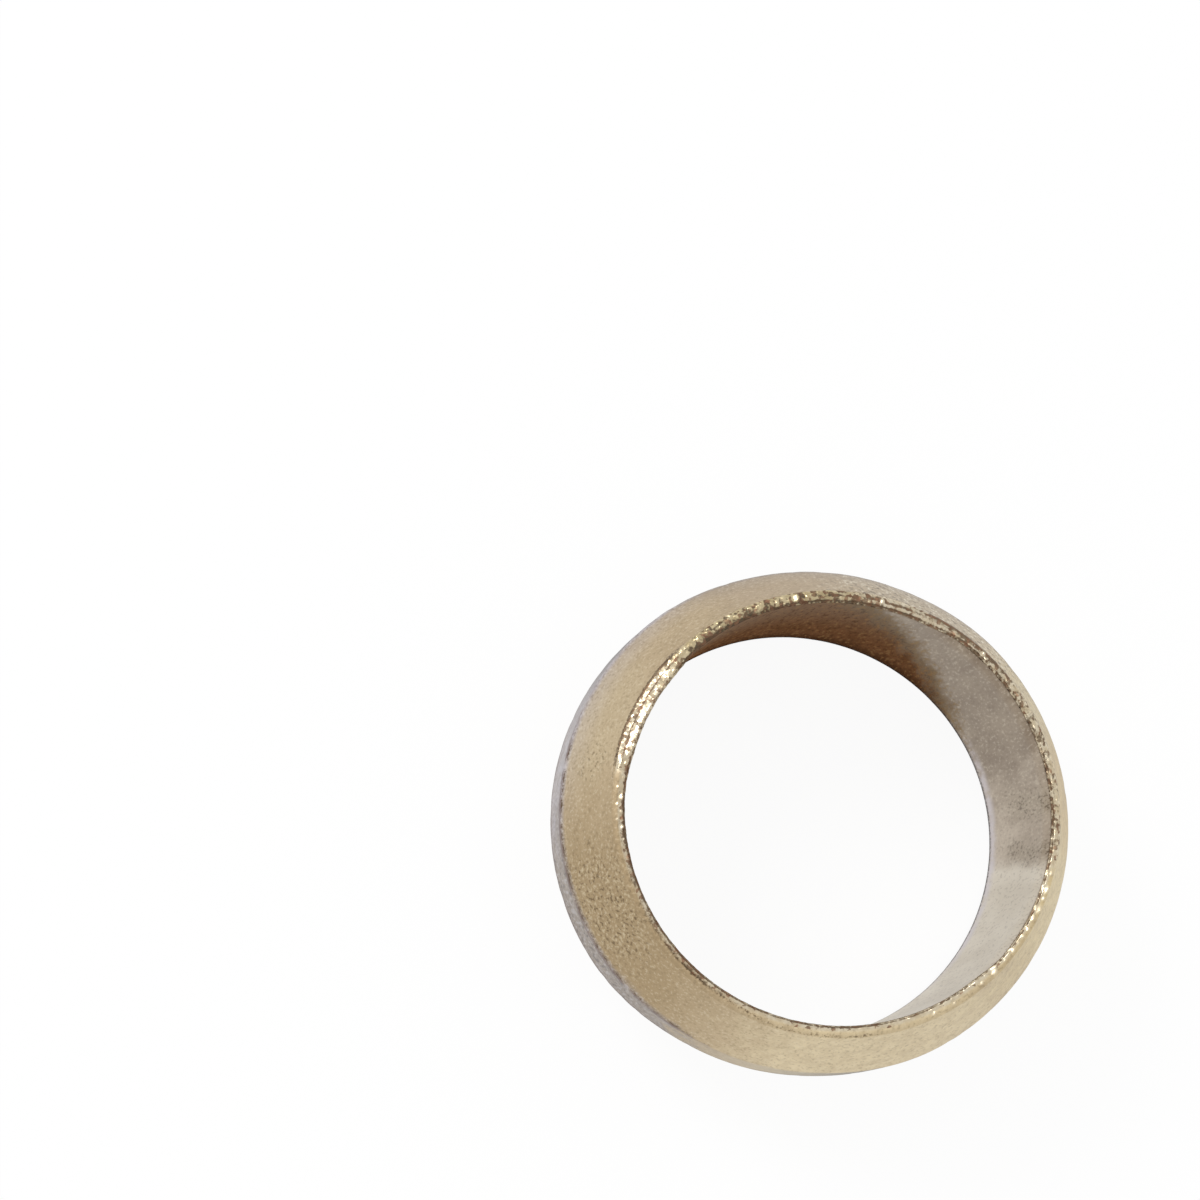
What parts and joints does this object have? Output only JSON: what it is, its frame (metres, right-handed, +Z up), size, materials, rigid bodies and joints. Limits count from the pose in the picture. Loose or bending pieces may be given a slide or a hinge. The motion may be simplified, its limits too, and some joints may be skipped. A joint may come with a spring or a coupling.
{
  "type": "compression olive",
  "caption": "Turned brass compression olive: a ring with a plain bore, a cone at each end and a narrow band round its crest, which seals a pipe in a compression joint.",
  "frame": {"origin": "centre of the lower end face, on the bore's axis, at the surface that the ring lies on", "axes": "+Z up along the bore axis; the ring is the same all round, so X and Y are free"},
  "size_m": [0.0184, 0.0184, 0.008],
  "materials": {
    "brass": "satin, pale and slightly dulled"
  },
  "bodies": {
    "root": {"olive": "brass"}
  },
  "joints": []
}
